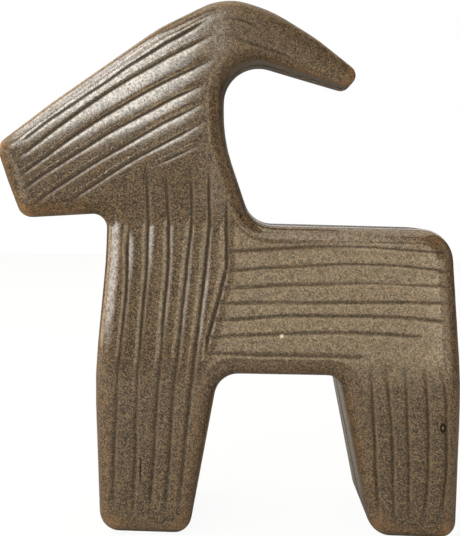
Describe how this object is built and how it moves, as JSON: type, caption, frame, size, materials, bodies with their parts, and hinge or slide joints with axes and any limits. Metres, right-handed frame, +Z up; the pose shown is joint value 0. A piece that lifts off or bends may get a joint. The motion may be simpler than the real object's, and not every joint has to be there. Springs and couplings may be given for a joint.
{
  "type": "goat ornament",
  "caption": "Goat figure in flat profile with a backswept horn and block legs, hollow speckled stoneware carved with bands of grooves, a seasonal ornament that stands on felt pads.",
  "frame": {"origin": "middle of the goat's outline on the table plane, midway between its two faces", "axes": "+Z up, +X from the snout towards the rump, +Y across the goat from its left face to its right face"},
  "size_m": [0.1578, 0.0512, 0.1802],
  "materials": {
    "glazed_stoneware": "satin speckled glaze, grey-brown, thinning to tan on the edges",
    "luting_clay": "matt fired clay under thin glaze",
    "felt": "pressed felt"
  },
  "bodies": {
    "root": {"left_half_shell": "glazed_stoneware", "right_half_shell": "glazed_stoneware", "luting_ring": "luting_clay", "front_left_foot_pad": "felt", "front_right_foot_pad": "felt", "rear_left_foot_pad": "felt", "rear_right_foot_pad": "felt"}
  },
  "joints": []
}
